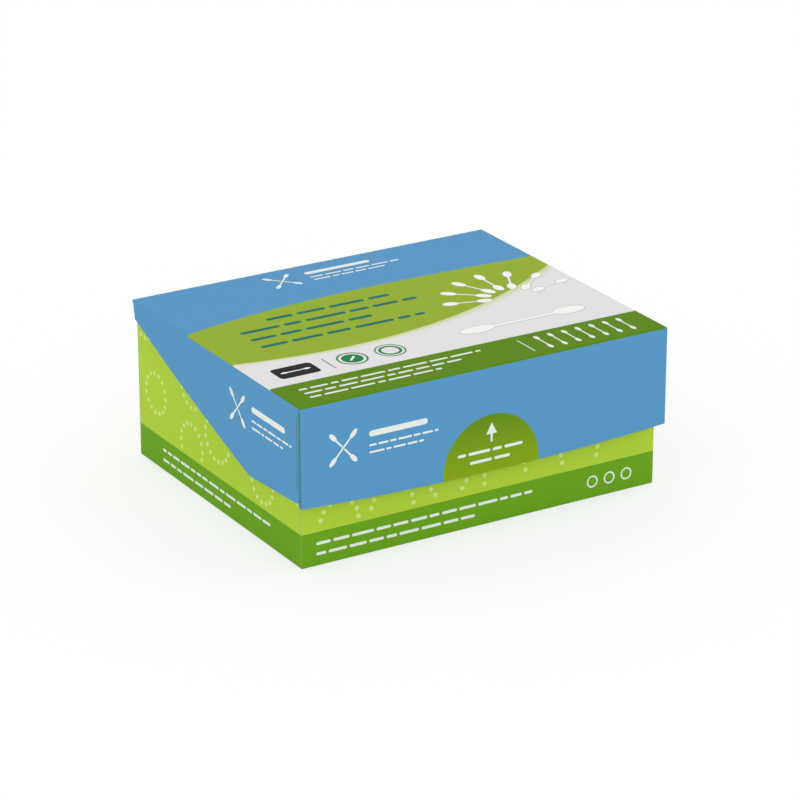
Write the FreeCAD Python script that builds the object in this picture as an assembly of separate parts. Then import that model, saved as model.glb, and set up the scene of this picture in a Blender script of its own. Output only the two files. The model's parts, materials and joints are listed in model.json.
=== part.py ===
# Cotton swab box: a flip-top carton of folded card, packed with layers of paper swabs
import FreeCAD, Part
import math
import os

# Millimetres. +Z is up, the front is towards -Y and the origin is on the floor,
# in the middle of the closed box seen from above.

# Swab: a paper stick with a wound cotton tip on each end
swab_length = 76.0
stick_diameter = 2.3
tip_diameter = 4.4
tip_length = 13.0
tip_nose = 3.4
tip_swell = 0.28
nose_steps = 3
body_steps = 2
stick_setback = 2.0

# Packing: full layers, each in the grooves of the one below, and a few loose swabs on top
swabs_across = 22
layer_count = 9
tip_clearance = 0.02
side_play = 0.93
end_play = 2.55
headroom = 6.05
loose_first = 9.5
loose_spacing = 10.5
loose_turns = (4.0, -3.0, 5.0, -4.0, 2.0, -5.0)

# Card: its thickness, the outer radius of a fold, and the glue tabs
card = 0.45
fold_radius = 0.4
tab_reach = 13.0
tab_inset = 1.5
tab_taper = 2.0

# Tray: how far its front stands above the full layers, and the slope of its side walls
front_rise = 1.2
slope_start = 9.0
slope_run = 30.0
slope_corner = 4.0

# Lid: its gaps to the tray, its doubled front flap and its two ears
ear_gap = 0.95
flap_gap = 1.15
hinge_gap = 0.1
back_corner = 0.5
flap_height = 25.4
flap_bow = 1.6
flap_corner = 0.3
hem_slit = 0.1
hem_top_gap = 1.2
ear_front_height = 24.6
ear_front_corner = 1.6
ear_knee_height = 25.9
ear_knee_reach = 24.2
ear_knee_corner = 3.0
ear_sag = 0.7
ear_tail_height = 4.9
ear_tail_inset = 0.6
ear_tail_slant = 0.9

# Sizes that follow from the swabs and the card
tip_radius = tip_diameter / 2
stick_radius = stick_diameter / 2
tip_pitch = tip_diameter + tip_clearance
layer_pitch = tip_pitch * math.sqrt(3) / 2
first_layer_height = card + tip_clearance + tip_radius
stack_top = first_layer_height + (layer_count - 1) * layer_pitch + tip_radius
inner_width = swabs_across * tip_pitch + 2 * side_play
tray_half = inner_width / 2 + card
tray_depth = swab_length + 2 * end_play + 2 * card
lid_underside = stack_top + headroom
box_height = lid_underside + card
lid_half = tray_half + ear_gap + card

# Planes across the depth, from the flap back to the hinge
flap_thickness = 2 * card + hem_slit
flap_stack = flap_thickness + card
closed_depth = flap_stack + flap_gap + tray_depth
flap_y = -closed_depth / 2
ear_y = flap_y + flap_thickness
tray_y = flap_y + flap_stack + flap_gap
back_y = closed_depth / 2
middle_y = (tray_y + back_y) / 2

# Heights of the edges
wall_top = lid_underside - hinge_gap
front_top = stack_top + front_rise
flap_bottom = box_height - flap_height
ear_front_bottom = box_height - ear_front_height
ear_knee_bottom = box_height - ear_knee_height
ear_tail_bottom = box_height - ear_tail_height


def point(x, y, z):
    """Short name for a position."""
    return FreeCAD.Vector(x, y, z)


def block(x0, x1, y0, y1, z0, z1):
    """Solid between six planes."""
    return Part.makeBox(x1 - x0, y1 - y0, z1 - z0, point(x0, y0, z0))


def panel(outline, thickness):
    """Sheet with the outline of a closed wire or a list of corners, thickened along a vector."""
    if isinstance(outline, list):
        outline = Part.makePolygon(outline + outline[:1])
    return Part.Face(outline).extrude(thickness)


def mirrored(shape):
    """Copy of a left-hand piece on the right."""
    return shape.mirror(point(0, 0, 0), point(1, 0, 0))


def is_at(vertex, **target):
    """True where the named coordinates of a vertex have the given values."""
    return all(abs(getattr(vertex.Point, axis) - value) < 1e-6 for axis, value in target.items())


def edges_at(shape, **target):
    """Edges whose end points all have the given coordinates."""
    return [edge for edge in shape.Edges if all(is_at(vertex, **target) for vertex in edge.Vertexes)]


def tip_outline():
    """Half outline of a cotton tip as radius and distance along the swab, from its nose back."""
    end = swab_length / 2
    widest = end - tip_nose
    corners = []
    for i in range(nose_steps):
        turn = math.pi / 2 * (1 - i / nose_steps)
        corners.append((tip_radius * math.cos(turn), widest + tip_nose * math.sin(turn)))
    for i in range(body_steps + 1):
        back = i / body_steps
        taper = tip_radius + (stick_radius - tip_radius) * back
        swell = 4 * tip_swell * back * (1 - back)
        corners.append((taper + swell, widest - (tip_length - tip_nose) * back))
    return corners


def swab_tip():
    """Cotton tip on the +Y end of a swab: rounded nose, tapered body and the bore for the stick."""
    bore_end = swab_length / 2 - stick_setback
    bore = [(stick_radius, bore_end), (0, bore_end)]
    corners = [point(radius, y, 0) for radius, y in tip_outline() + bore]
    outline = Part.makePolygon(corners + corners[:1])
    return Part.Face(outline).revolve(point(0, 0, 0), point(0, 1, 0), 360)


def swab_tips():
    """The two cotton tips of one swab."""
    tip = swab_tip()
    return [tip, tip.mirror(point(0, 0, 0), point(0, 1, 0))]


def swab_stick():
    """Paper stick of one swab, as far as the ends of the bores in its tips."""
    reach = swab_length / 2 - stick_setback
    return [Part.makeCylinder(stick_radius, 2 * reach, point(0, -reach, 0), point(0, 1, 0))]


def layer_places(layer):
    """Centre and turn of each swab in one full layer, counted from the bottom."""
    count = swabs_across - layer % 2
    first_x = -(count - 1) * tip_pitch / 2
    height = first_layer_height + layer * layer_pitch
    return [(point(first_x + i * tip_pitch, middle_y, height), 0.0) for i in range(count)]


def loose_places():
    """Centre and turn of each loose swab on the top layer."""
    first_x = -inner_width / 2 + loose_first
    height = stack_top + tip_clearance + tip_radius
    return [
        (point(first_x + i * loose_spacing, middle_y, height), turn)
        for i, turn in enumerate(loose_turns)
    ]


def copies(shapes, places):
    """Group of separate solids: each shape at each place."""
    placed = []
    for centre, turn in places:
        placement = FreeCAD.Placement(centre, FreeCAD.Rotation(point(0, 0, 1), turn))
        for shape in shapes:
            copy = shape.copy()
            copy.Placement = placement
            placed.append(copy)
    return Part.makeCompound(placed)


def side_wall():
    """Left wall of the tray: high at the hinge, sloping down to the height of the front."""
    x = -tray_half
    slope_low = point(x, tray_y + slope_start, front_top)
    slope_high = point(x, slope_low.y + slope_run, wall_top)
    corners = [
        point(x, tray_y + card, 0),
        point(x, tray_y + card, front_top),
        slope_low,
        slope_high,
        point(x, back_y - card, wall_top),
        point(x, back_y - card, 0),
    ]
    wall = panel(corners, point(card, 0, 0))
    for corner in (slope_low, slope_high):
        wall = wall.makeFillet(slope_corner, edges_at(wall, y=corner.y, z=corner.z))
    return wall


def glue_tab(x, y, low, high):
    """Tapered tab folded inwards from the front or back edge of a left-hand panel."""
    corners = [
        point(x, y, low),
        point(x + card + tab_reach, y, low + tab_taper),
        point(x + card + tab_reach, y, high - tab_taper),
        point(x, y, high),
    ]
    return panel(corners, point(0, card, 0))


def tray():
    """Tray: floor, four walls and the glue tabs of the side walls, folded from one sheet."""
    floor = block(-tray_half, tray_half, tray_y, back_y, 0, card)
    front = block(-tray_half, tray_half, tray_y, tray_y + card, 0, front_top)
    back = block(-tray_half, tray_half, back_y - card, back_y, 0, wall_top)
    low = card + tab_inset
    left_hand = [
        side_wall(),
        glue_tab(-tray_half, tray_y + card, low, front_top - tab_inset),
        glue_tab(-tray_half, back_y - 2 * card, low, wall_top - tab_inset),
    ]
    right_hand = [mirrored(piece) for piece in left_hand]
    folded = floor.fuse([front, back] + left_hand + right_hand).removeSplitter()
    envelope = block(-tray_half, tray_half, tray_y, back_y, 0, box_height)
    envelope = envelope.makeFillet(fold_radius, edges_at(envelope, z=0))
    return folded.common(envelope)


def bowed_panel(y0, y1, bottom, top, corner):
    """Upright panel across the lid, with a bowed lower edge and rounded lower corners."""
    ends = [point(-lid_half, y0, bottom), point(lid_half, y0, bottom)]
    bow = Part.Arc(ends[0], point(0, y0, bottom - flap_bow), ends[1])
    sides = Part.makePolygon(
        [ends[1], point(lid_half, y0, top), point(-lid_half, y0, top), ends[0]]
    )
    sheet = panel(Part.Wire([bow.toShape()] + sides.Edges), point(0, y1 - y0, 0))
    for x in (-lid_half, lid_half):
        sheet = sheet.makeFillet(corner, edges_at(sheet, x=x, z=bottom))
    return sheet


def front_flap():
    """Front flap of the lid, folded back on itself along its bowed lower edge."""
    flap = bowed_panel(flap_y, ear_y, flap_bottom, box_height, flap_corner)
    slit = bowed_panel(
        flap_y + card, flap_y + card + hem_slit, flap_bottom + card, box_height, flap_corner
    )
    above_hem = block(
        -lid_half, lid_half, flap_y + card, ear_y, lid_underside - hem_top_gap, box_height
    )
    return flap.cut([slit, above_hem])


def ear():
    """Left side of the lid: deep behind the flap, tapering back towards the hinge."""
    x = -lid_half
    tail_y = back_y - ear_tail_inset
    tail = point(x, tail_y - ear_tail_slant, ear_tail_bottom)
    knee = point(x, ear_y + ear_knee_reach, ear_knee_bottom)
    middle = (tail + knee) / 2 - point(0, 0, ear_sag)
    slope = Part.Arc(tail, middle, knee)
    rest = Part.makePolygon(
        [
            knee,
            point(x, ear_y, ear_front_bottom),
            point(x, ear_y, box_height),
            point(x, tail_y, box_height),
            tail,
        ]
    )
    side = panel(Part.Wire([slope.toShape()] + rest.Edges), point(card, 0, 0))
    side = side.makeFillet(ear_knee_corner, edges_at(side, y=knee.y, z=knee.z))
    side = side.makeFillet(ear_front_corner, edges_at(side, y=ear_y, z=ear_front_bottom))
    return side.makeFillet(fold_radius / 2, edges_at(side, x=x, y=ear_y))


def lid():
    """Lid: top panel, doubled front flap, and two ears glued behind it by their tabs."""
    top = block(-lid_half, lid_half, flap_y, back_y, lid_underside, box_height)
    tab_low = ear_front_bottom + ear_front_corner
    tab = glue_tab(-lid_half + fold_radius, ear_y, tab_low, lid_underside - tab_inset)
    left_hand = [ear(), tab]
    right_hand = [mirrored(piece) for piece in left_hand]
    folded = top.fuse([front_flap()] + left_hand + right_hand).removeSplitter()
    envelope = block(-lid_half, lid_half, flap_y, back_y, 0, box_height)
    for x in (-lid_half, lid_half):
        envelope = envelope.makeFillet(back_corner, edges_at(envelope, x=x, y=back_y))
    envelope = envelope.makeFillet(fold_radius, edges_at(envelope, z=box_height))
    return folded.common(envelope)


def swab_nodes(name, places):
    """Sticks and tips of a layer of swabs, as two named groups."""
    return {
        f"swab_sticks_{name}": copies(swab_stick(), places),
        f"swab_tips_{name}": copies(swab_tips(), places),
    }


def build():
    """All sub-parts by name."""
    nodes = {"tray": tray(), "lid": lid()}
    for layer in range(layer_count):
        nodes.update(swab_nodes(f"layer_{layer + 1}", layer_places(layer)))
    nodes.update(swab_nodes("loose", loose_places()))
    return nodes


os.makedirs("parts", exist_ok=True)
for name, shape in build().items():
    shape.exportStep(f"parts/{name}.step")
    solids = [solid.Volume for solid in shape.Solids]
    print(f"{name}: {len(solids)} solids, {sum(solids):.1f} mm3, valid {shape.isValid()}")
print(f"closed box {2 * lid_half:.2f} x {closed_depth:.2f} x {box_height:.2f} mm")
print(f"tray {2 * tray_half:.2f} x {tray_depth:.2f} mm, hinge at y {back_y:.3f}, z {lid_underside:.3f}")
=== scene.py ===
import json
import math
import random
import types

import bmesh
import bpy
from bpy.props import FloatProperty, FloatVectorProperty, IntProperty, PointerProperty
from mathutils import Matrix, Vector


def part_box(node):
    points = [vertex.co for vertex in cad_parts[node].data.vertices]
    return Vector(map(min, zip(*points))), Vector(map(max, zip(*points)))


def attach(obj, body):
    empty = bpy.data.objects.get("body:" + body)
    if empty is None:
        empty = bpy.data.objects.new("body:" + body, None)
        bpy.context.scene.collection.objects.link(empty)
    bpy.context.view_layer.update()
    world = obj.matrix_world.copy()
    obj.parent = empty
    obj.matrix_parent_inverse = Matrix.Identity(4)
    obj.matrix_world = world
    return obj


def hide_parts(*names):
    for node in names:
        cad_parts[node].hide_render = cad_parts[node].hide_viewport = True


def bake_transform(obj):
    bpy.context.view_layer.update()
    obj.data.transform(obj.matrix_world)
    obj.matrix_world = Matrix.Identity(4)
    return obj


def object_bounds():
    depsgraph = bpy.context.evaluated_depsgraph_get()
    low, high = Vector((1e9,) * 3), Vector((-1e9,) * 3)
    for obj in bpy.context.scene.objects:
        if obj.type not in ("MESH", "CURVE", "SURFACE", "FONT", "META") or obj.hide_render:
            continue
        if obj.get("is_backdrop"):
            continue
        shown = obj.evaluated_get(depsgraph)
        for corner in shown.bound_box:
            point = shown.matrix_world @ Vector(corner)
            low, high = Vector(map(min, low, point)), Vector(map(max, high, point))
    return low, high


bl_info = {
    "name": "Cotton Swab Box",
    "version": (1, 0, 0),
    "blender": (4, 5, 0),
    "location": "3D View > Sidebar > Swab Box",
    "description": "Prints the card of a flip-top box, folds its crease and fills it with cotton swabs",
    "category": "Object",
}

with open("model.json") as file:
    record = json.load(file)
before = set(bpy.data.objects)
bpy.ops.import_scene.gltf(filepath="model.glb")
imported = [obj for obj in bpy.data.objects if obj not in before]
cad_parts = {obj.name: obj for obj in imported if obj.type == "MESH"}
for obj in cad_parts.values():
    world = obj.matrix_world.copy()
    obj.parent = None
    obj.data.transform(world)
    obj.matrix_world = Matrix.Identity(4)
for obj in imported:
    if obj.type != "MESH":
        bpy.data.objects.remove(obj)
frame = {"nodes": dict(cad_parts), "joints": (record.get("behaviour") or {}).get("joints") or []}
CAD_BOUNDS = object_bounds()

# Planes of the closed box, in millimetres
MM = 0.001
TRAY_LOW, TRAY_HIGH = [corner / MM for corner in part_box("tray")]
LID_LOW, LID_HIGH = [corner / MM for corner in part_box("lid")]
HINGE = Vector(frame["joints"][0]["pos_m"]) / MM
CARD = LID_HIGH.z - HINGE.z
FRONT_TOP = max(
    vertex.co.z / MM
    for vertex in frame["nodes"]["tray"].data.vertices
    if vertex.co.y / MM < TRAY_LOW.y + 0.01
)

# Layers of print and folds in the card, in millimetres, and how strongly card and ink reflect
SKIN = 0.2
SHARP = 0.02
HEM_TOP = HINGE.z - 1.3
FLAP_BACK = LID_LOW.y + 2 * CARD + 0.1
CARD_SHINE = 0.03

# Curved edges of the fields on the lid, as powers of x over half its width, highest first
HALF_WIDTH = 50.0
OLIVE_EDGE = (1.34, -3.74, 0.98, 19.46)
WHITE_EDGE = (0.5, 11.18, 9.39, -11.57)
STRIP_EDGE = (-0.4, -28.5)
FADE_WIDTH = (1.0, 2.3)

# Depth to which a mark is sunk in the card, and radii of the dotted rings as shares of their gap
INK_SUNK = 0.01
RING_SHARES = (0.38, 0.45)

# Stage, in metres and shares, and the height in millimetres that the camera looks at
FLOOR_RADIUS = 8
FLOOR_GLOW = 0.65
LAMP_PLACE = (-0.5, -1.2, 0.6)
LAMP_SIZE = 0.9
AIM_HEIGHT = 21

BODY = "box"
LID_BODY = "lid_body"
LOWER_LAYERS = [f"layer_{i}" for i in range(1, 9)]
TOP_LAYER = "layer_9"


def ink(red, green, blue):
    """Linear colour from the eight-bit levels that a printed colour is seen as."""
    levels = [level / 255 for level in (red, green, blue)]
    return [v / 12.92 if v <= 0.04045 else ((v + 0.055) / 1.055) ** 2.4 for v in levels]


def colour_property(name, description, seen_as):
    """A colour that the user can change."""
    return FloatVectorProperty(
        name=name, description=description, subtype="COLOR", size=3, min=0, max=1, default=ink(*seen_as)
    )


def size_property(name, description, millimetres, least=0):
    """A length that the user can change, given in millimetres and kept in metres."""
    return FloatProperty(
        name=name, description=description, subtype="DISTANCE", precision=4,
        default=millimetres * MM, min=least * MM, soft_max=0.2,
    )


class SwabBoxColours(bpy.types.PropertyGroup):
    """Printed colours, and those of bare card, paper and cotton"""

    lid_blue: colour_property("Lid Blue", "Ground colour of the lid", (87, 149, 194))
    olive: colour_property("Olive", "Wide curved field across the lid", (146, 172, 44))
    white: colour_property("White", "Pale field in front of the olive one", (226, 223, 224))
    swoosh: colour_property("Swoosh", "Thin pale line between the two", (200, 212, 150))
    strip: colour_property("Strip", "Dark field along the front of the lid", (90, 133, 6))
    tab_top: colour_property("Tab Top", "Press tab at its round edge", (99, 139, 31))
    tab_foot: colour_property("Tab Foot", "Press tab at the flap's lower edge", (130, 161, 24))
    lime: colour_property("Lime", "Upper part of the tray's walls", (174, 205, 61))
    band: colour_property("Band", "Dark band round the foot of the tray", (106, 161, 31))
    dots: colour_property("Dots", "Dotted rings on the lime ground", (206, 228, 132))
    pale_ink: colour_property("Pale Ink", "Marks on the blue and green grounds", (228, 234, 228))
    teal_ink: colour_property("Teal Ink", "Lines on the olive field", (20, 112, 104))
    seal_green: colour_property("Seal Green", "Discs and rings on the white field", (24, 128, 76))
    dark_ink: colour_property("Dark Ink", "Dark marks on the white field", (30, 34, 32))
    outline: colour_property("Outline", "Outlines of the drawn swabs", (172, 168, 160))
    bare_card: colour_property("Bare Card", "Unprinted inner side of the card", (224, 218, 206))
    cut_card: colour_property("Cut Card", "Core of the card along its cut edges", (160, 152, 110))
    # Painted shade: a dark teal-grey that stands for the shadow in the gap at the doubled flap's cut ends
    # and along the glue tab's edge on the side
    flap_end_shade: colour_property("Flap End Shade", "Cut ends of the doubled flap", (80, 128, 140))
    paper: colour_property("Paper", "Rolled paper sticks", (236, 232, 224))
    cotton: colour_property("Cotton", "Cotton tips", (244, 243, 240))


class SwabBoxPrint(bpy.types.PropertyGroup):
    """Places of the colour fields and sizes of the marks"""

    band_height: size_property("Band Height", "Top of the dark band on the tray", 8.73)
    panel_shift: size_property("Panel Shift", "Blank panel under the tray, right of the middle", 14)
    panel_width: size_property("Panel Width", "Width of the blank panel", 52)
    panel_depth: size_property("Panel Depth", "Depth of the blank panel", 30)
    wrap: size_property("Wrap", "How far the lid's top print runs over its folds", 0.33)
    softness: size_property("Softness", "Width over which one colour gives way to the next", 0.05)
    tab_radius: size_property("Tab Radius", "Radius of the press tab", 13.5)
    tab_shift: size_property("Tab Shift", "Press tab's centre to the right of the lid's middle", 0.9)
    tab_height: size_property("Tab Height", "Height of the press tab's centre", 16.2)
    ink_height: size_property("Ink Height", "How far a mark stands proud of the card", 0.03)
    dot_size: size_property("Dot Size", "Diameter of a dot", 1.2)
    dot_spacing: size_property("Dot Spacing", "Distance between the dots of a ring", 2.2)
    ring_gap: size_property("Ring Gap", "Least distance between the centres of two rings", 13.2)


class SwabBoxSwabs(bpy.types.PropertyGroup):
    """Shape and place of the swabs"""

    tip_length: size_property("Tip Length", "Length of a cotton tip", 13.0)
    tip_nose: size_property("Tip Nose", "Length of its rounded nose", 3.4)
    tip_swell: size_property("Tip Swell", "How far its body bulges over a straight taper", 0.28)
    fuzz: size_property("Fuzz", "Unevenness of the wound cotton", 0.3)
    loose_first: size_property("Loose First", "First loose swab from the inner side wall", 9.5)
    loose_spacing: size_property("Loose Spacing", "Distance between the loose swabs", 10.5)
    loose_turns: FloatVectorProperty(
        name="Loose Turns", description="Turn of each loose swab", unit="ROTATION", size=6,
        default=[math.radians(turn) for turn in (4, -3, 5, -4, 2, -5)],
    )
    seed: IntProperty(name="Seed", description="Start of the random shapes", default=7)


class SwabBoxStage(bpy.types.PropertyGroup):
    """Camera and light"""

    azimuth: FloatProperty(
        name="Azimuth", description="Turn of the camera from the front to the right",
        subtype="ANGLE", default=math.radians(-31.099),
    )
    elevation: FloatProperty(
        name="Elevation", description="Height of the camera over the floor",
        subtype="ANGLE", default=math.radians(21.917),
    )
    distance: size_property("Distance", "Camera from the middle of the tray", 893.681)
    pan_right: size_property("Pan Right", "Step of the camera to the right", 1.45, least=-50)
    pan_up: size_property("Pan Up", "Step of the camera upwards", -2.35, least=-50)
    lens: FloatProperty(
        name="Lens", description="Focal length on a 36 mm sensor", unit="CAMERA", default=162.0, min=1
    )
    sky: FloatProperty(name="Sky", description="Strength of the even light", default=1.0, min=0)
    key: FloatProperty(name="Key", description="Power of the lamp", unit="POWER", default=1.2, min=0)


def in_millimetres(group):
    """Values of a settings group, with its lengths turned into millimetres."""
    values = {}
    for key in group.__annotations__:
        value = getattr(group, key)
        is_length = group.bl_rna.properties[key].subtype == "DISTANCE"
        values[key] = value / MM if is_length else value
    return types.SimpleNamespace(**values)


def print_settings(context):
    """Colours and print sizes of the scene."""
    return context.scene.swab_box_colours, in_millimetres(context.scene.swab_box_print)


class Socket:
    """An output socket of a node. Python's operators on it add Math nodes to its tree."""

    def __init__(self, nodes, output):
        self.nodes = nodes
        self.output = output

    def sibling(self, name):
        """Another output of the same node."""
        return Socket(self.nodes, self.output.node.outputs[name])

    def math(self, operation, *values, clamp=False):
        """Result of a Math node on the given values."""
        settings = {"operation": operation, "use_clamp": clamp}
        return self.nodes.node("ShaderNodeMath", settings, dict(enumerate(values)))

    def __add__(self, other):
        return self.math("ADD", self, other)

    def __sub__(self, other):
        return self.math("SUBTRACT", self, other)

    def __rsub__(self, other):
        return self.math("SUBTRACT", other, self)

    def __mul__(self, other):
        return self.math("MULTIPLY", self, other)

    def __truediv__(self, other):
        return self.math("DIVIDE", self, other)

    def __rtruediv__(self, other):
        return self.math("DIVIDE", other, self)

    def __abs__(self):
        return self.math("ABSOLUTE", self)

    __radd__ = __add__
    __rmul__ = __mul__

    def sin(self):
        return self.math("SINE", self)

    def cos(self):
        return self.math("COSINE", self)

    def fraction(self):
        return self.math("FRACT", self)

    def clamped(self):
        """The value kept between 0 and 1."""
        return self.math("ADD", self, 0.0, clamp=True)

    def both(self, other):
        """The lesser of two masks."""
        return self.math("MINIMUM", self, other)

    def either(self, other):
        """The greater of two masks."""
        return self.math("MAXIMUM", self, other)

    def above(self, edge, softness):
        """Mask that rises from 0 to 1 across an edge."""
        return self.math("MULTIPLY_ADD", self - edge, 1 / softness, 0.5, clamp=True)

    def below(self, edge, softness):
        """Mask that falls from 1 to 0 across an edge."""
        return self.math("MULTIPLY_ADD", edge - self, 1 / softness, 0.5, clamp=True)


class Nodes:
    """A node tree that is filled one node at a time."""

    def __init__(self, tree):
        self.tree = tree

    def node(self, kind, settings=None, inputs=None, output=0):
        """Adds a node, sets it, fills its sockets and returns one of its outputs."""
        node = self.tree.nodes.new(kind)
        for name, value in (settings or {}).items():
            setattr(node, name, value)
        for key, value in (inputs or {}).items():
            if isinstance(value, Socket):
                self.tree.links.new(value.output, node.inputs[key])
            else:
                node.inputs[key].default_value = value
        return Socket(self, node.outputs[output]) if len(node.outputs) else None

    def parts(self, vector):
        """The three numbers of a vector."""
        return [self.node("ShaderNodeSeparateXYZ", None, {0: vector}, axis) for axis in "XYZ"]

    def noise(self, place, scale, detail, stretch=(1, 1, 1)):
        """Soft noise from 0 to 1, with its scale in cells per millimetre."""
        spot = self.node("ShaderNodeVectorMath", {"operation": "MULTIPLY"}, {0: place, 1: stretch})
        return self.node("ShaderNodeTexNoise", None, {"Vector": spot, "Scale": scale, "Detail": detail})


class Finish(Nodes):
    """A material in the making, laid out in the box's millimetres."""

    def __init__(self, name):
        self.material = bpy.data.materials.new(name)
        self.material.use_nodes = True
        super().__init__(self.material.node_tree)
        self.tree.nodes.clear()
        metres = self.node("ShaderNodeTexCoord", output="Object")
        self.place = self.node(
            "ShaderNodeVectorMath", {"operation": "SCALE"}, {0: metres, "Scale": 1 / MM}
        )

    def mix(self, mask, first, second, blend="MIX"):
        """The second colour over the first, by a mask."""
        colours = [c if isinstance(c, Socket) else (*c, 1) for c in (first, second)]
        settings = {"data_type": "RGBA", "blend_type": blend}
        return self.node("ShaderNodeMix", settings, {0: mask, 6: colours[0], 7: colours[1]}, 2)

    def bump(self, height, depth, below=None):
        """Normal bent by a height, with its depth in millimetres."""
        inputs = {"Height": height, "Distance": depth * MM}
        if below:
            inputs["Normal"] = below
        return self.node("ShaderNodeBump", None, inputs)

    def surface(self, colour, roughness, normal, **constants):
        """Ends the material in one Principled shader."""
        inputs = {"Base Color": colour, "Roughness": roughness, "Normal": normal, **constants}
        shader = self.node("ShaderNodeBsdfPrincipled", None, inputs)
        self.node("ShaderNodeOutputMaterial", None, {"Surface": shader})
        return self.material


def card_surface(finish, printed_colour, printed, colours):
    """Coated card where it is printed, and bare pulp with faint fibres elsewhere."""
    place = finish.place
    fibre = finish.noise(place, scale=1.1, detail=4, stretch=(0.25, 1, 1))
    grain = finish.noise(place, scale=6.0, detail=3)
    fleck = grain.above(0.68, 0.1) * 0.3
    bare = finish.mix(fibre.above(0.5, 0.4) * 0.2, colours.bare_card, (0.6, 0.56, 0.48))
    bare = finish.mix(fleck, bare, (0.52, 0.47, 0.38))
    mottle = finish.noise(place, scale=0.35, detail=3) * 0.07
    inked = finish.mix(mottle, printed_colour, (0.7, 0.7, 0.7), "MULTIPLY")
    waves = finish.bump(finish.noise(place, scale=0.05, detail=1), depth=0.15)
    normal = finish.bump(fibre * (1.4 - printed) + grain * 0.2, depth=0.012, below=waves)
    roughness = 0.82 - 0.36 * printed + 0.08 * grain
    colour = finish.mix(printed, bare, inked)
    return finish.surface(colour, roughness, normal, **{"Specular IOR Level": CARD_SHINE})


def curve(x, factors):
    """Height of a curved edge at x."""
    share = x / HALF_WIDTH
    height = factors[0]
    for factor in factors[1:]:
        height = share * height + factor
    return height


def lid_top_fields(finish, x, y, colours, softness):
    """Colours on top of the lid: blue, the curved olive and white fields, and the dark strip."""
    olive = (curve(x, OLIVE_EDGE) - y).above(0, softness)
    before = curve(x, WHITE_EDGE) - y
    strip = (curve(x, STRIP_EDGE) - y).above(0, softness)
    fading = (before / curve(x, FADE_WIDTH)).clamped()
    colour = finish.mix(olive, colours.lid_blue, colours.olive)
    pale = finish.mix(fading, colours.swoosh, colours.white)
    colour = finish.mix(before.above(0, softness), colour, pale)
    return finish.mix(strip, colour, colours.strip)


def lid_material(colours, sizes):
    """Card of the lid with its print."""
    finish = Finish("lid_card_print")
    x, y, z = finish.parts(finish.place)
    on_front = y.below(LID_LOW.y + SKIN, SHARP)
    on_side = abs(x).above(LID_HIGH.x - SKIN, SHARP)
    on_back = y.above(HINGE.y - SHARP, SHARP)
    in_flap = y.below(FLAP_BACK - 0.04, SHARP).both(z.below(HEM_TOP, SHARP))
    printed = z.above(LID_HIGH.z - SKIN, SHARP).either(on_front).either(on_side)
    printed = printed.either(on_back).either(in_flap)

    tab_rise = z - sizes.tab_height
    from_tab = x - sizes.tab_shift
    reach = from_tab * from_tab + tab_rise * tab_rise
    tab = reach.below(sizes.tab_radius ** 2, 2 * sizes.tab_radius * sizes.softness)
    tab_colour = finish.mix(tab_rise / sizes.tab_radius, colours.tab_foot, colours.tab_top)
    colour = finish.mix(tab.both(on_front), colours.lid_blue, tab_colour)

    # Painted shade: the flap's cut ends and a thin line where the card steps over the glue tab's edge on
    # the side are darkened with the flap-end shade colour
    glue_y, glue_z, glue_half, glue_line = FLAP_BACK + 0.8, 30, 9.5, 0.3
    flap_end = y.below(FLAP_BACK - 0.03, SHARP).both(abs(x).above(LID_HIGH.x - SHARP, SHARP))
    glue_edge_shade = abs(y - glue_y).below(glue_line, 0.2).both(abs(z - glue_z).below(glue_half, 2.0))
    shade = flap_end.either(glue_edge_shade.both(on_side) * 0.8)
    colour = finish.mix(shade, colour, colours.flap_end_shade)
    over_fold = z.above(LID_HIGH.z - sizes.wrap, sizes.softness)
    colour = finish.mix(over_fold, colour, lid_top_fields(finish, x, y, colours, sizes.softness))
    return card_surface(finish, colour, printed, colours)


def tray_material(colours, sizes):
    """Card of the tray with its lime walls, dark band and a blank panel underneath."""
    finish = Finish("tray_card_print")
    x, y, z = finish.parts(finish.place)
    from_middle = abs(y - (TRAY_LOW.y + TRAY_HIGH.y) / 2)
    half_depth = (TRAY_HIGH.y - TRAY_LOW.y) / 2
    on_side = abs(x).above(TRAY_HIGH.x - SKIN, SHARP)
    on_end = from_middle.above(half_depth - SKIN, SHARP)
    under = z.below(SKIN, SHARP)
    colour = finish.mix(z.below(sizes.band_height, sizes.softness), colours.lime, colours.band)
    across = abs(x - sizes.panel_shift).below(sizes.panel_width / 2, sizes.softness)
    panel = across.both(abs(y).below(sizes.panel_depth / 2, sizes.softness))
    colour = finish.mix(panel.both(under), colour, colours.white)
    cut_edge = from_middle.above(half_depth - 0.4, SHARP).both(from_middle.below(half_depth - 0.1, SHARP))
    cut_edge = cut_edge.both(abs(x).above(TRAY_HIGH.x - SHARP, SHARP))
    colour = finish.mix(cut_edge * 0.6, colour, colours.cut_card)
    return card_surface(finish, colour, on_side.either(on_end).either(under), colours)


def ink_material(name, colour):
    """A printed mark on coated card."""
    finish = Finish(name)
    grain = finish.noise(finish.place, scale=6.0, detail=3)
    mottle = finish.noise(finish.place, scale=0.8, detail=2) * 0.12
    inked = finish.mix(mottle, colour, (0.7, 0.7, 0.7), "MULTIPLY")
    normal = finish.bump(grain, depth=0.004)
    return finish.surface(inked, 0.46 + 0.08 * grain, normal, **{"Specular IOR Level": CARD_SHINE})


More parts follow.
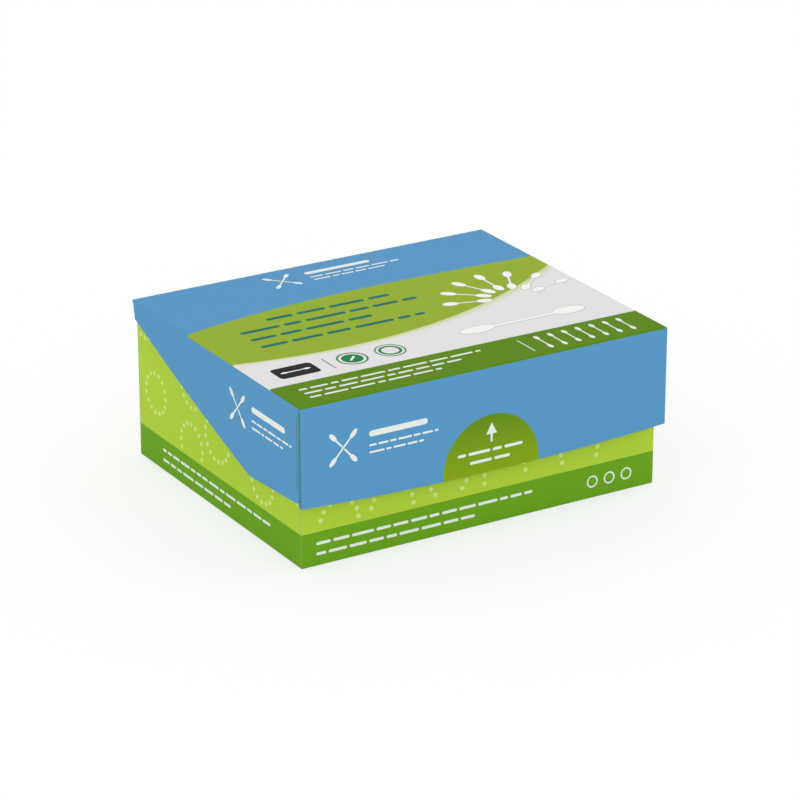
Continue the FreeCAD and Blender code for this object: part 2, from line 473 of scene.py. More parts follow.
def cotton_material(colours):
    """Wound cotton: matt, with fine fibres laid round the tip."""
    finish = Finish("wound_cotton")
    wound = finish.noise(finish.place, scale=1.6, detail=4, stretch=(0.5, 3.0, 0.5))
    lint = finish.noise(finish.place, scale=7.0, detail=3)
    colour = finish.mix(wound * 0.3, colours.cotton, (0.72, 0.7, 0.67))
    normal = finish.bump(wound * 0.7 + lint * 0.3, depth=0.1)
    constants = {"Specular IOR Level": 0.1, "Sheen Weight": 0.3, "Sheen Roughness": 0.6}
    return finish.surface(colour, 0.86 + 0.1 * lint, normal, **constants)


def paper_material(colours):
    """Rolled paper stick with the slanting edge of its wrap."""
    finish = Finish("rolled_paper")
    u, v, _ = finish.parts(finish.node("ShaderNodeTexCoord", output="UV"))
    wraps = 9
    edge = abs((u + wraps * v).fraction() - 0.5).below(0.03, 0.03)
    fibre = finish.noise(finish.place, scale=4.0, detail=3, stretch=(1, 0.3, 1))
    colour = finish.mix(edge * 0.3 + fibre * 0.08, colours.paper, (0.5, 0.47, 0.4))
    normal = finish.bump(fibre * 0.5 - edge, depth=0.03)
    return finish.surface(colour, 0.66 + 0.1 * fibre, normal, **{"Specular IOR Level": CARD_SHINE})


class Face:
    """A flat face of the box on which marks are laid out in millimetres."""

    def __init__(self, origin, right, up):
        self.origin = Vector(origin)
        self.right = Vector(right)
        self.up = Vector(up)
        self.out = self.right.cross(self.up)

    def at(self, u, v, proud):
        """Place of a point of the layout, in metres."""
        return (self.origin + self.right * u + self.up * v + self.out * proud) * MM

    def matrix(self):
        """Turns the layout's millimetres into the box's metres."""
        axes = Matrix((self.right, self.up, self.out)).transposed().to_4x4()
        return Matrix.Scale(MM, 4) @ Matrix.Translation(self.origin) @ axes


UP = (0, 0, 1)
LID_TOP = Face((0, 0, LID_HIGH.z), (1, 0, 0), (0, 1, 0))
LID_FRONT = Face((0, LID_LOW.y, 0), (1, 0, 0), UP)
LID_LEFT = Face((LID_LOW.x, 0, 0), (0, -1, 0), UP)
LID_RIGHT = Face((LID_HIGH.x, 0, 0), (0, 1, 0), UP)
TRAY_FRONT = Face((0, TRAY_LOW.y, 0), (1, 0, 0), UP)
TRAY_BACK = Face((0, TRAY_HIGH.y, 0), (-1, 0, 0), UP)
TRAY_LEFT = Face((TRAY_LOW.x, 0, 0), (0, -1, 0), UP)
TRAY_RIGHT = Face((TRAY_HIGH.x, 0, 0), (0, 1, 0), UP)


def arc(u, v, radius, start, turn, steps):
    """Points along an arc, with its angles in degrees."""
    angles = [math.radians(start + turn * i / steps) for i in range(steps + 1)]
    return [(u + radius * math.cos(a), v + radius * math.sin(a)) for a in angles]


def placed(outline, u, v, degrees=0.0):
    """An outline turned about the layout's origin and then moved."""
    c, s = math.cos(math.radians(degrees)), math.sin(math.radians(degrees))
    return [(u + c * a - s * b, v + s * a + c * b) for a, b in outline]


def disc(radius, steps=32):
    """Round outline about the origin."""
    return arc(0, 0, radius, 0, 360, steps)[:-1]


def bar(length, height):
    """Bar with round ends about the origin."""
    reach, radius = (length - height) / 2, height / 2
    return arc(reach, 0, radius, -90, 180, 6) + arc(-reach, 0, radius, 90, 180, 6)


def stroke(half_width, half_height):
    """Thin upright line about the origin."""
    return [
        (-half_width, -half_height), (half_width, -half_height),
        (half_width, half_height), (-half_width, half_height),
    ]


def rounded_box(length, height, radius):
    """Rectangle with round corners about the origin."""
    across, up = length / 2 - radius, height / 2 - radius
    corners = [(across, -up, -90), (across, up, 0), (-across, up, 90), (-across, -up, 180)]
    return [spot for u, v, start in corners for spot in arc(u, v, radius, start, 90, 5)]


def arrow(height, head, shaft):
    """Upright arrow about the origin."""
    top, neck, foot = height / 2, height / 2 - head, -height / 2
    side, thin = 0.52 * head, shaft / 2
    return [(-thin, foot), (thin, foot), (thin, neck), (side, neck), (0, top), (-side, neck), (-thin, neck)]


def bud(end, length, plump, stick):
    """Outline of a cotton tip that ends at a place on the layout's axis, from the stick and back to it."""
    start = math.degrees(math.asin(stick / plump))
    turned = arc(0, 0, 1, 180 + start, 360 - 2 * start, 16)
    return [(end - length / 2 * (1 - a), plump * b) for a, b in turned]


def swab_sizes(length, fullness):
    """Length and half-width of a drawn swab's tips, and half the width of its stick."""
    return length * (0.14 + 2 * fullness), length * fullness, max(length * 0.015, 0.22)


def swab_sign(length, grow=0.0, fullness=0.055):
    """Outline of a simple swab lying along the layout, with plump ends."""
    tip, plump, stick = swab_sizes(length, fullness)
    end = bud(length / 2 + grow, tip + 2 * grow, plump + grow, stick + grow)
    return end + placed(end, 0, 0, 180)


class Marks:
    """Flat printed shapes of one ink, gathered into one piece."""

    def __init__(self, proud):
        self.mesh = bmesh.new()
        self.levels = (-INK_SUNK, proud)

    def walls(self, low, high):
        """Closes the sides between two loops of corners."""
        for i, corner in enumerate(low):
            j = (i + 1) % len(low)
            self.mesh.faces.new([corner, low[j], high[j], high[i]])

    def loop(self, face, outline, level):
        """Corners of an outline at one height over a face."""
        return [self.mesh.verts.new(face.at(u, v, level)) for u, v in outline]

    def shape(self, face, outline, u=0.0, v=0.0, degrees=0.0):
        """Closed plate with this outline, sunk a hair in the face and standing proud of it."""
        outline = placed(outline, u, v, degrees)
        low, high = [self.loop(face, outline, level) for level in self.levels]
        self.mesh.faces.new(high)
        self.mesh.faces.new(low[::-1])
        self.walls(low, high)

    def ring(self, face, u, v, radius, width):
        """Closed flat ring with this outer radius."""
        loops = []
        for level in self.levels:
            for edge in (radius - width, radius):
                loops.append(self.loop(face, placed(disc(edge, steps=40), u, v), level))
        low_in, low_out, high_in, high_out = loops
        self.walls(high_out, high_in)
        self.walls(low_in, low_out)
        self.walls(low_out, high_out)
        self.walls(high_in, low_in)

    def words(self, face, u, v, length, height, seed):
        """Line of short bars in place of words, starting at its left end."""
        pick = random.Random(seed)
        end = u + length
        while end - u > 1.6 * height:
            word = min(pick.uniform(2.6, 8.5) * height, end - u)
            self.shape(face, bar(word, height), u + word / 2, v)
            u += word + 0.9 * height

    def crossed_swabs(self, face, u, v, length):
        """Sign of two crossed swabs: one whole, and one in two halves beside it."""
        self.shape(face, swab_sign(length), u, v, 48)
        tip, plump, stick = swab_sizes(length, 0.055)
        half = [(2 * stick, stick), (2 * stick, -stick)] + bud(length / 2, tip, plump, stick)
        for turn in (132, 312):
            self.shape(face, half, u, v, turn)

    def piece(self, name, material, body, slot):
        """Finished piece, riding on its body."""
        data = bpy.data.meshes.new(name)
        bmesh.ops.recalc_face_normals(self.mesh, faces=self.mesh.faces)
        self.mesh.to_mesh(data)
        self.mesh.free()
        return add_piece(name, data, material, body)


def add_piece(name, data, material, body):
    """Puts a finished mesh in the scene as a piece of the box."""
    data.materials.clear()
    data.materials.append(material)
    piece = bpy.data.objects.new(name, data)
    bpy.context.scene.collection.objects.link(piece)
    if body:
        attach(piece, body)
    return piece


def cover(node, material):
    """Gives a node of the construction its material."""
    slots = frame["nodes"][node].material_slots
    if not slots:
        raise RuntimeError(f"{node} has no material slot")
    for slot in slots:
        slot.material = material


def new_tree(name, inputs):
    """Geometry tree with named inputs, each with its socket type."""
    tree = bpy.data.node_groups.new(name, "GeometryNodeTree")
    inputs = {"Geometry": "NodeSocketGeometry", **inputs}
    for label, kind in inputs.items():
        tree.interface.new_socket(label, in_out="INPUT", socket_type=kind)
    tree.interface.new_socket("Geometry", in_out="OUTPUT", socket_type="NodeSocketGeometry")
    nodes = Nodes(tree)
    first = nodes.node("NodeGroupInput", output="Geometry")
    return nodes, {label: first.sibling(label) for label in inputs}


def end_tree(nodes, geometry, material):
    """Ends a tree in real geometry with one material."""
    real = nodes.node("GeometryNodeRealizeInstances", None, {0: geometry})
    dressed = nodes.node("GeometryNodeSetMaterial", None, {0: real, "Material": material})
    nodes.node("NodeGroupOutput", None, {0: dressed})
    return nodes.tree


def grown(name, start, tree, values):
    """Plain mesh that a geometry tree makes from a starting mesh."""
    seedling = bpy.data.objects.new(name, start)
    bpy.context.scene.collection.objects.link(seedling)
    modifier = seedling.modifiers.new(name, "NODES")
    modifier.node_group = tree
    for item in tree.interface.items_tree:
        if item.in_out == "INPUT" and item.name in values:
            modifier[item.identifier] = values[item.name]
    graph = bpy.context.evaluated_depsgraph_get()
    data = bpy.data.meshes.new_from_object(seedling.evaluated_get(graph), depsgraph=graph)
    seedling.modifiers.remove(modifier)
    bpy.data.objects.remove(seedling)
    if not data.polygons:
        raise RuntimeError(f"{name} grew no faces")
    return data


def moved(nodes, geometry, translation=(0, 0, 0), rotation=(0, 0, 0)):
    """Geometry moved and turned as a whole."""
    inputs = {"Geometry": geometry, "Translation": translation, "Rotation": rotation}
    return nodes.node("GeometryNodeTransform", None, inputs)


def dotted_rings_tree(material):
    """Rings of dots scattered over a flat wall, without the dots that miss it."""
    labels = ["Ring Gap", "Dot Spacing", "Dot Radius", "Ink Height", "Sunk"]
    inputs = {label: "NodeSocketFloat" for label in labels}
    nodes, given = new_tree("dotted_rings", {**inputs, "Seed": "NodeSocketInt"})
    node, wall, seed = nodes.node, given["Geometry"], given["Seed"]
    scatter = {"Mesh": wall, "Distance Min": given["Ring Gap"], "Density Max": 1.0, "Seed": seed}
    centres = node("GeometryNodeDistributePointsOnFaces", {"distribute_method": "POISSON"}, scatter)
    circle = node("GeometryNodeCurvePrimitiveCircle", None, {"Radius": 1.0})
    least, most = [given["Ring Gap"] * share for share in RING_SHARES]
    limits = {2: least, 3: most, "Seed": seed}
    radius = node("FunctionNodeRandomValue", {"data_type": "FLOAT"}, limits, 1)
    rings = {"Points": centres, "Instance": circle, "Scale": radius}
    rings = node("GeometryNodeInstanceOnPoints", None, rings)
    rings = node("GeometryNodeRealizeInstances", None, {0: rings})
    steps = {"Curve": rings, "Length": given["Dot Spacing"]}
    spots = node("GeometryNodeCurveToPoints", {"mode": "LENGTH"}, steps)
    off_wall = node("GeometryNodeProximity", {"target_element": "FACES"}, {0: wall}, "Distance")
    missed = {"Geometry": spots, "Selection": off_wall.above(0.01, 0.01)}
    spots = node("GeometryNodeDeleteGeometry", {"domain": "POINT"}, missed)
    depth = given["Ink Height"] + given["Sunk"]
    dot = {"Vertices": 12, "Radius": given["Dot Radius"], "Depth": depth}
    dot = node("GeometryNodeMeshCylinder", None, dot)
    lift = node("ShaderNodeCombineXYZ", None, {2: (given["Ink Height"] - given["Sunk"]) / 2})
    dots = {"Points": spots, "Instance": moved(nodes, dot, lift)}
    return end_tree(nodes, node("GeometryNodeInstanceOnPoints", None, dots), material)


def lathe(nodes, around, along, profile):
    """Closed shape turned about Y. Its profile gives radius and place from a count of 0 to 1."""
    node = nodes.node
    flat = {"Size X": 1.0, "Size Y": 1.0, "Vertices X": around, "Vertices Y": along}
    grid = node("GeometryNodeMeshGrid", None, flat)
    stored = {"Geometry": grid, "Name": "UVMap", "Value": grid.sibling("UV Map")}
    settings = {"data_type": "FLOAT2", "domain": "CORNER"}
    mapped = node("GeometryNodeStoreNamedAttribute", settings, stored)
    x, y, _ = nodes.parts(node("GeometryNodeInputPosition"))
    turn = (x + 0.5) * math.tau
    radius, place = profile(y + 0.5)
    spot = node("ShaderNodeCombineXYZ", None, {0: radius * turn.cos(), 1: place, 2: radius * turn.sin()})
    turned = node("GeometryNodeSetPosition", None, {"Geometry": mapped, "Position": spot})
    closed = node("GeometryNodeMergeByDistance", None, {"Geometry": turned, "Distance": 0.002})
    return node("GeometryNodeSetShadeSmooth", None, {"Geometry": closed, "Shade Smooth": True})


def laid_out(nodes, points, shape):
    """Real copies of a shape, one for each swab, each turned by its own angle."""
    node = nodes.node
    turn = node("GeometryNodeInputNamedAttribute", {"data_type": "FLOAT"}, {"Name": "turn"})
    turn = node("ShaderNodeCombineXYZ", None, {2: turn})
    turn = node("FunctionNodeEulerToRotation", None, {0: turn})
    copies = {"Points": points, "Instance": shape, "Rotation": turn}
    copies = node("GeometryNodeInstanceOnPoints", None, copies)
    return node("GeometryNodeRealizeInstances", None, {0: copies})


SWAB_INPUTS = {
    "Swab Length": "NodeSocketFloat",
    "Stick Radius": "NodeSocketFloat",
    "Around": "NodeSocketInt",
    "Along": "NodeSocketInt",
}


def sticks_tree(material):
    """A paper stick for each swab."""
    nodes, given = new_tree("paper_sticks", {"Stick Reach": "NodeSocketFloat", **SWAB_INPUTS})

    def profile(count):
        side = ((0.5 - count) * 3 + 0.5).clamped() * 2 - 1
        radius = given["Stick Radius"] * abs(count - 0.5).below(0.4, 0.01)
        return radius, given["Stick Reach"] * side

    stick = lathe(nodes, given["Around"], given["Along"], profile)
    return end_tree(nodes, laid_out(nodes, given["Geometry"], stick), material)


def tips_tree(material):
    """Two wound cotton tips for each swab: round nose, tapered body and closed back."""
    labels = ["Tip Radius", "Tip Length", "Tip Nose", "Tip Swell", "Fuzz"]
    inputs = {label: "NodeSocketFloat" for label in labels}
    nodes, given = new_tree("cotton_tips", {**inputs, "Seed": "NodeSocketInt", **SWAB_INPUTS})
    node = nodes.node

    def profile(count):
        nose_share = 0.4
        body_share = 1 - nose_share - 1 / (given["Along"] - 1)
        bend = (count / nose_share).clamped() * (math.pi / 2)
        back = ((count - nose_share) / body_share).clamped()
        taper = (given["Stick Radius"] - given["Tip Radius"]) * back
        radius = given["Tip Radius"] * bend.sin() + taper + given["Tip Swell"] * 4 * back * (1 - back)
        nose = given["Tip Nose"] * (1 - bend.cos())
        body = (given["Tip Length"] - given["Tip Nose"]) * back
        return radius * count.below(0.995, 0.005), given["Swab Length"] / 2 - nose - body

    tip = lathe(nodes, given["Around"], given["Along"], profile)
    pair = node("GeometryNodeJoinGeometry")
    for half_turn in (0, math.pi):
        end = moved(nodes, tip, rotation=(0, 0, half_turn))
        nodes.tree.links.new(end.output, pair.output.node.inputs[0])
    tips = laid_out(nodes, given["Geometry"], pair)
    wobble = {"Vector": node("GeometryNodeInputPosition"), "W": given["Seed"], "Scale": 0.5, "Detail": 3.0}
    wobble = node("ShaderNodeTexNoise", {"noise_dimensions": "4D"}, wobble)
    push = {0: node("GeometryNodeInputNormal"), "Scale": (wobble - 0.5) * given["Fuzz"]}
    push = node("ShaderNodeVectorMath", {"operation": "SCALE"}, push)
    uneven = node("GeometryNodeSetPosition", None, {"Geometry": tips, "Offset": push})
    return end_tree(nodes, uneven, material)


def layer_swabs(layer):
    """Centre and turn of each swab in a full layer, read from its tips in the construction."""
    low, high = [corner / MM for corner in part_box(f"swab_tips_{layer}")]
    middle, size = (low + high) / 2, high - low
    count = round(size.x / size.z)
    pitch = (size.x - size.z) / (count - 1)
    first = low.x + size.z / 2
    return [((first + i * pitch, middle.y, middle.z), 0.0) for i in range(count)]


def loose_swabs(swabs):
    """Centre and turn of each loose swab on top."""
    low, high = [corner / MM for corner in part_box("swab_tips_loose")]
    middle = (low + high) / 2
    first = TRAY_LOW.x + CARD + swabs.loose_first
    return [
        ((first + i * swabs.loose_spacing, middle.y, middle.z), turn)
        for i, turn in enumerate(swabs.loose_turns)
    ]


def swab_points(name, places):
    """Mesh of loose points, one for each swab, with their turns."""
    data = bpy.data.meshes.new(name)
    data.from_pydata([centre for centre, _ in places], [], [])
    turns = data.attributes.new("turn", "FLOAT", "POINT")
    turns.data.foreach_set("value", [turn for _, turn in places])
    return data


def swab_group(name, places, layers, swabs, trees, around, along):
    """Sticks and tips of some layers, standing for their nodes in the construction."""
    sticks_low, sticks_high = [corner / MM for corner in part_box("swab_sticks_layer_1")]
    tips_low, tips_high = [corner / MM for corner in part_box("swab_tips_layer_1")]
    values = {
        "Swab Length": tips_high.y - tips_low.y,
        "Tip Radius": (tips_high.z - tips_low.z) / 2,
        "Tip Length": swabs.tip_length,
        "Tip Nose": swabs.tip_nose,
        "Tip Swell": swabs.tip_swell,
        "Fuzz": swabs.fuzz,
        "Seed": swabs.seed,
        "Stick Radius": (sticks_high.z - sticks_low.z) / 2,
        "Stick Reach": (sticks_high.y - sticks_low.y) / 2,
    }
    kinds = [
        ("sticks", "paper_sticks", "stick_paper", {"Around": 13, "Along": 4}),
        ("tips", "cotton_tips", "tip_cotton", {"Around": around + 1, "Along": along}),
    ]
    for kind, title, slot, steps in kinds:
        material, tree = trees[kind]
        data = grown(f"{title}_{name}", swab_points(name, places), tree, {**values, **steps})
        data.transform(Matrix.Scale(MM, 4))
        piece = add_piece(f"{title}_{name}", data, material, BODY)
        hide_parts(*[f"swab_{kind}_{layer}" for layer in layers])


class SWABBOX_OT_tray(bpy.types.Operator):
    """Prints the outside of the tray and leaves the card bare inside"""

    bl_idname = "swab_box.tray"
    bl_label = "Tray"

    def execute(self, context):
        cover("tray", tray_material(*print_settings(context)))
        return {"FINISHED"}


class SWABBOX_OT_lid(bpy.types.Operator):
    """Prints the outside of the lid with its fields and its press tab"""

    bl_idname = "swab_box.lid"
    bl_label = "Lid"

    def execute(self, context):
        cover("lid", lid_material(*print_settings(context)))
        return {"FINISHED"}


class SWABBOX_OT_crease(bpy.types.Operator):
    """Joins the tray's back wall to the lid with a crease that bends as the lid opens"""

    bl_idname = "swab_box.crease"
    bl_label = "Hinge Crease"

    def execute(self, context):
        steps = 6
        mesh = bmesh.new()
        rings = []
        for i in range(steps + 1):
            z = TRAY_HIGH.z + (HINGE.z - TRAY_HIGH.z) * i / steps
            corners = [
                (TRAY_LOW.x, TRAY_HIGH.y - CARD), (TRAY_HIGH.x, TRAY_HIGH.y - CARD),
                (TRAY_HIGH.x, TRAY_HIGH.y), (TRAY_LOW.x, TRAY_HIGH.y),
            ]
            rings.append([mesh.verts.new(Vector((x, y, z)) * MM) for x, y in corners])
        mesh.faces.new(rings[0][::-1])
        mesh.faces.new(rings[-1])
        for low, high in zip(rings, rings[1:]):
            for i in range(4):
                j = (i + 1) % 4
                mesh.faces.new([low[i], low[j], high[j], high[i]])
        data = bpy.data.meshes.new("hinge_crease")
        mesh.to_mesh(data)
        mesh.free()
        material = frame["nodes"]["tray"].material_slots[0].material
        crease = add_piece("hinge_crease", data, material, None)
        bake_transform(crease)
        return {"FINISHED"}


class SWABBOX_OT_rings(bpy.types.Operator):
    """Scatters dotted rings over the lime part of the tray's four walls"""

    bl_idname = "swab_box.rings"
    bl_label = "Dotted Rings"

    def execute(self, context):
        colours, sizes = print_settings(context)
        material = ink_material("dot_ink", colours.dots)
        tree = dotted_rings_tree(material)
        margin = sizes.dot_size
        low, wall_top, front_top = sizes.band_height + margin, TRAY_HIGH.z - margin, FRONT_TOP - margin
        across = TRAY_HIGH.x - margin
        front, back = TRAY_LOW.y + margin, TRAY_HIGH.y - margin
        slope_top, slope_foot = TRAY_LOW.y + 40, TRAY_LOW.y + 9.5
        side = [
            (front, low), (back, low), (back, wall_top),
            (slope_top, wall_top), (slope_foot, front_top), (front, front_top),
        ]
        walls = [
            (TRAY_FRONT, [(-across, low), (across, low), (across, front_top), (-across, front_top)]),
            (TRAY_BACK, [(-across, low), (across, low), (across, wall_top), (-across, wall_top)]),
            (TRAY_LEFT, [(-y, z) for y, z in side[::-1]]),
            (TRAY_RIGHT, side),
        ]
        values = {
            "Ring Gap": sizes.ring_gap,
            "Dot Spacing": sizes.dot_spacing,
            "Dot Radius": sizes.dot_size / 2,
            "Ink Height": sizes.ink_height,
            "Sunk": INK_SUNK,
        }
        mesh = bmesh.new()
        for i, (face, outline) in enumerate(walls):
            flat = bpy.data.meshes.new("wall_outline")
            flat.from_pydata([(u, v, 0) for u, v in outline], [], [range(len(outline))])
            dots = grown("wall_dots", flat, tree, {**values, "Seed": 3 + i})
            dots.transform(face.matrix())
            mesh.from_mesh(dots)
        data = bpy.data.meshes.new("tray_dotted_rings")
        mesh.to_mesh(data)
        mesh.free()
        add_piece("tray_dotted_rings", data, material, BODY)
        return {"FINISHED"}


class SWABBOX_OT_tray_lines(bpy.types.Operator):
    """Prints plain lines on the dark band round the tray"""

    bl_idname = "swab_box.tray_lines"
    bl_label = "Tray Lines"

    def execute(self, context):
        colours, sizes = print_settings(context)
        marks = Marks(sizes.ink_height)
        for i, face in enumerate((TRAY_FRONT, TRAY_BACK)):
            marks.words(face, -46, 5.75, 62, 0.75, 11 + i)
            marks.words(face, -46, 3.1, 44, 0.75, 21 + i)
            for k in range(3):
                marks.ring(face, 32 + 5 * k, 4.4, 1.6, 0.4)
        for i, (face, start) in enumerate(((TRAY_LEFT, -30), (TRAY_RIGHT, -28))):
            marks.words(face, start, 5.75, 56, 0.7, 31 + i)
            marks.words(face, start, 3.1, 36, 0.7, 41 + i)
        marks.piece("tray_lines", ink_material("tray_pale_ink", colours.pale_ink), BODY, "tray_card")
        return {"FINISHED"}


class SWABBOX_OT_lid_marks(bpy.types.Operator):
    """Prints plain signs, lines and drawn swabs on the lid"""

    bl_idname = "swab_box.lid_marks"
    bl_label = "Lid Marks"

    def execute(self, context):
        colours, sizes = print_settings(context)
        self.pale_marks(colours.pale_ink, sizes.ink_height)
        self.teal_lines(colours.teal_ink, sizes.ink_height)
        self.seals(colours, sizes.ink_height)
        self.drawn_swabs(colours, sizes.ink_height)
        return {"FINISHED"}

    def pale_marks(self, colour, height):
        """Signs and lines on the blue ground, the press tab and the dark strip."""
        pale = Marks(height)
        for face, u, v in ((LID_FRONT, -40, 29.8), (LID_LEFT, 12, 31.8), (LID_RIGHT, -34, 31.8)):
            pale.crossed_swabs(face, u, v, 11)
            pale.shape(face, bar(16, 1.5), u + 15, v + 2.0)
            pale.words(face, u + 7, v - 0.9, 19, 0.5, 51)
            pale.words(face, u + 7, v - 2.7, 15, 0.5, 52)
        pale.crossed_swabs(LID_TOP, -13, 34.2, 11)
        pale.shape(LID_TOP, bar(19, 1.6), 4, 36.2)
        pale.words(LID_TOP, -5.5, 33.2, 26, 0.6, 53)
        pale.words(LID_TOP, -5.5, 31.2, 21, 0.6, 54)
        pale.shape(LID_FRONT, arrow(5, 2.9, 0.55), 0.9, 25.1)
        pale.words(LID_FRONT, -8.6, 20.6, 19, 0.75, 55)
        pale.words(LID_FRONT, -5.2, 18.2, 12, 0.75, 56)
        for row in range(3):
            pale.words(LID_TOP, -46, -32.2 - 2.6 * row, 50 - 7 * row, 0.8, 57 + row)
        pale.shape(LID_TOP, stroke(0.15, 4), 15, -35.2)
        for k in range(7):
            pale.shape(LID_TOP, swab_sign(8.6, fullness=0.07), 20 + 4 * k, -35.2, 90)
        pale.piece("lid_pale_marks", ink_material("lid_pale_ink", colour), LID_BODY, "lid_card")

    def teal_lines(self, colour, height):
        """Four lines on the olive field."""
        teal = Marks(height)
        for row, (start, length) in enumerate(((-30, 36), (-40, 50), (-40, 34), (-40, 46))):
            teal.words(LID_TOP, start, 12.2 - 5.2 * row, length, 1.35, 61 + row)
        teal.piece("lid_teal_lines", ink_material("lid_teal_ink", colour), LID_BODY, "lid_card")

    def seals(self, colours, height):
        """Dark box, disc and rings in a row on the white field."""
        dark = Marks(height)
        dark.shape(LID_TOP, rounded_box(11, 6.6, 1.2), -40.5, -21)
        dark.shape(LID_TOP, stroke(0.1, 3.5), -31.5, -21)
        dark.piece("lid_dark_seal", ink_material("lid_dark_ink", colours.dark_ink), LID_BODY, "lid_card")
        green = Marks(height)
        green.shape(LID_TOP, disc(2.7), -25, -21)
        green.ring(LID_TOP, -25, -21, 3.9, 0.45)
        green.ring(LID_TOP, -14.5, -21, 3.9, 0.35)
        green.ring(LID_TOP, -14.5, -21, 2.9, 0.7)
        material = ink_material("lid_green_ink", colours.seal_green)
        green.piece("lid_green_seals", material, LID_BODY, "lid_card")

    def drawn_swabs(self, colours, height):
        """Fan of swabs across the olive and white fields, and one lying before it."""
        fan_u, fan_v, fan_radius = 31, -6, 12.6
        drawn = []
        for angle in range(15, 180, 25):
            u = fan_u + fan_radius * math.cos(math.radians(angle))
            v = fan_v + fan_radius * math.sin(math.radians(angle))
            drawn.append((u, v, angle, 13, 0.09))
        drawn.append((24, -20, 0, 36, 0.06))
        outlines, fills = Marks(height), Marks(height + 0.015)
        for u, v, turn, length, fullness in drawn:
            outlines.shape(LID_TOP, swab_sign(length, 0.14, fullness), u, v, turn)
            fills.shape(LID_TOP, swab_sign(length, 0, fullness), u, v, turn)
        fills.shape(LID_TOP, swab_sign(8), -40.5, -21)
        fills.shape(LID_TOP, bar(3, 0.6), -25, -21, 45)
        outline_ink = ink_material("lid_outline_ink", colours.outline)
        outlines.piece("lid_swab_outlines", outline_ink, LID_BODY, "lid_card")
        fills.piece("lid_drawn_swabs", ink_material("lid_white_ink", colours.cotton), LID_BODY, "lid_card")


class SWABBOX_OT_swabs(bpy.types.Operator):
    """Fills the box with paper swabs: eight plain layers, a finer top layer and the loose ones"""

    bl_idname = "swab_box.swabs"
    bl_label = "Swabs"

    def execute(self, context):
        colours, _ = print_settings(context)
        swabs = in_millimetres(context.scene.swab_box_swabs)
        paper, cotton = paper_material(colours), cotton_material(colours)
        trees = {"sticks": (paper, sticks_tree(paper)), "tips": (cotton, tips_tree(cotton))}
        lower = [place for layer in LOWER_LAYERS for place in layer_swabs(layer)]
        swab_group("lower", lower, LOWER_LAYERS, swabs, trees, around=8, along=7)
        swab_group("top", layer_swabs(TOP_LAYER), [TOP_LAYER], swabs, trees, around=22, along=16)
        swab_group("loose", loose_swabs(swabs), ["loose"], swabs, trees, around=22, along=16)
        return {"FINISHED"}


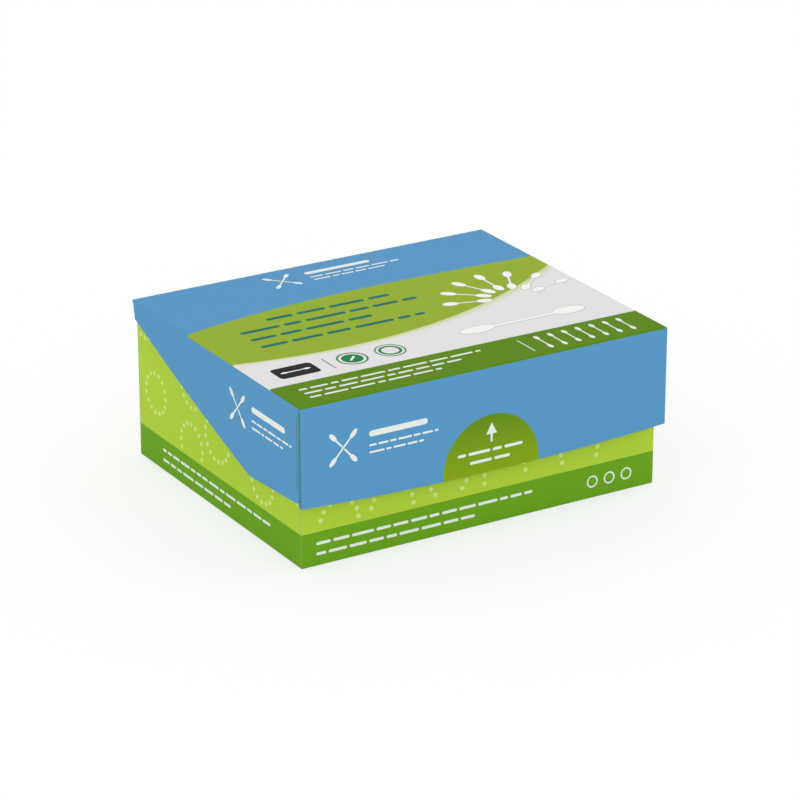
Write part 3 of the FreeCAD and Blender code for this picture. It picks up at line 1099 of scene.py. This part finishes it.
class SWABBOX_OT_stage(bpy.types.Operator):
    """Sets a white floor, an even white sky, a broad lamp and the camera"""

    bl_idname = "swab_box.stage"
    bl_label = "Stage"

    def execute(self, context):
        scene = context.scene
        stage = in_millimetres(scene.swab_box_stage)
        self.floor(scene)
        self.sky(scene, stage)
        self.lamp(scene, stage)
        self.camera(scene, stage)
        scene.view_settings.view_transform = "Standard"
        return {"FINISHED"}

    def floor(self, scene):
        """A wide white disc that keeps a faint shadow of the box."""
        mesh = bmesh.new()
        bmesh.ops.create_circle(mesh, cap_ends=True, radius=FLOOR_RADIUS, segments=96)
        data = bpy.data.meshes.new("floor")
        mesh.to_mesh(data)
        mesh.free()
        finish = Finish("white_floor")
        seen = finish.node("ShaderNodeLightPath", output="Is Camera Ray")
        paint = finish.node("ShaderNodeBsdfDiffuse", None, {"Color": (1, 1, 1, 1)})
        glow = finish.node("ShaderNodeEmission", None, {"Strength": 1.0})
        mixed = finish.node("ShaderNodeMixShader", None, {0: seen * FLOOR_GLOW, 1: paint, 2: glow})
        finish.node("ShaderNodeOutputMaterial", None, {"Surface": mixed})
        data.materials.append(finish.material)
        floor = bpy.data.objects.new("floor", data)
        scene.collection.objects.link(floor)
        floor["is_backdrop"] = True

    def sky(self, scene, stage):
        """Even light that looks white to the camera and in reflections."""
        scene.world = bpy.data.worlds.new("even_sky")
        scene.world.use_nodes = True
        nodes = Nodes(scene.world.node_tree)
        nodes.tree.nodes.clear()
        rays = nodes.node("ShaderNodeLightPath", output="Is Camera Ray")
        seen = rays.either(rays.sibling("Is Glossy Ray")).either(rays.sibling("Is Transmission Ray"))
        light = nodes.node("ShaderNodeBackground", None, {0: (1, 1, 1, 1), 1: stage.sky})
        white = nodes.node("ShaderNodeBackground", None, {0: (1, 1, 1, 1), 1: 1.0})
        mixed = nodes.node("ShaderNodeMixShader", None, {0: seen, 1: light, 2: white})
        nodes.node("ShaderNodeOutputWorld", None, {"Surface": mixed})

    def lamp(self, scene, stage):
        """A broad, weak lamp over the front left corner."""
        data = bpy.data.lights.new("key_lamp", "AREA")
        data.shape = "DISK"
        data.size = LAMP_SIZE
        data.energy = stage.key
        lamp = bpy.data.objects.new("key_lamp", data)
        lamp.location = LAMP_PLACE
        lamp.rotation_euler = lamp.location.to_track_quat("Z", "Y").to_euler()
        scene.collection.objects.link(lamp)

    def camera(self, scene, stage):
        """The camera, turned to the middle of the tray and then moved sideways and up."""
        turn, rise = stage.azimuth, stage.elevation
        away = Vector((math.sin(turn) * math.cos(rise), -math.cos(turn) * math.cos(rise), math.sin(rise)))
        right = Vector((math.cos(turn), math.sin(turn), 0))
        up = away.cross(right)
        middle = Vector((0, (TRAY_LOW.y + TRAY_HIGH.y) / 2, AIM_HEIGHT))
        spot = middle + away * stage.distance + right * stage.pan_right + up * stage.pan_up
        data = bpy.data.cameras.new("camera")
        data.lens = stage.lens
        data.sensor_width = 36
        data.clip_start = 0.01
        data.clip_end = 30
        camera = bpy.data.objects.new("camera", data)
        axes = Matrix((right, up, away)).transposed().to_4x4()
        camera.matrix_world = Matrix.Translation(spot * MM) @ axes
        scene.collection.objects.link(camera)
        scene.camera = camera


PROPERTY_GROUPS = {
    "swab_box_colours": SwabBoxColours,
    "swab_box_print": SwabBoxPrint,
    "swab_box_swabs": SwabBoxSwabs,
    "swab_box_stage": SwabBoxStage,
}
OPERATORS = [
    SWABBOX_OT_stage,
    SWABBOX_OT_tray,
    SWABBOX_OT_lid,
    SWABBOX_OT_crease,
    SWABBOX_OT_rings,
    SWABBOX_OT_tray_lines,
    SWABBOX_OT_lid_marks,
    SWABBOX_OT_swabs,
]


class SWABBOX_PT_sidebar(bpy.types.Panel):
    """Sidebar with the box's pieces, sizes and colours"""

    bl_idname = "SWABBOX_PT_sidebar"
    bl_label = "Cotton Swab Box"
    bl_space_type = "VIEW_3D"
    bl_region_type = "UI"
    bl_category = "Swab Box"

    def draw(self, context):
        for operator in OPERATORS:
            self.layout.operator(operator.bl_idname)
        for name, group in PROPERTY_GROUPS.items():
            column = self.layout.column(heading=group.__doc__)
            for key in group.__annotations__:
                column.prop(getattr(context.scene, name), key)


CLASSES = [*PROPERTY_GROUPS.values(), *OPERATORS, SWABBOX_PT_sidebar]


def register():
    """Makes the classes known to Blender and hangs the settings on the scene."""
    for item in CLASSES:
        bpy.utils.register_class(item)
    for name, group in PROPERTY_GROUPS.items():
        setattr(bpy.types.Scene, name, PointerProperty(type=group))


def unregister():
    """Undoes register."""
    for name in PROPERTY_GROUPS:
        delattr(bpy.types.Scene, name)
    for item in reversed(CLASSES):
        bpy.utils.unregister_class(item)


def main():
    """Builds the stage and every piece, and writes the sizes."""
    register()
    bpy.ops.swab_box.stage()
    bpy.ops.swab_box.tray()
    bpy.ops.swab_box.lid()
    bpy.ops.swab_box.crease()
    bpy.ops.swab_box.rings()
    bpy.ops.swab_box.tray_lines()
    bpy.ops.swab_box.lid_marks()
    bpy.ops.swab_box.swabs()
    sizes = {"cad": CAD_BOUNDS, "visual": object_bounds()}
    sizes = {name: [list(corner) for corner in box] for name, box in sizes.items()}


if __name__ == "__main__":
    main()
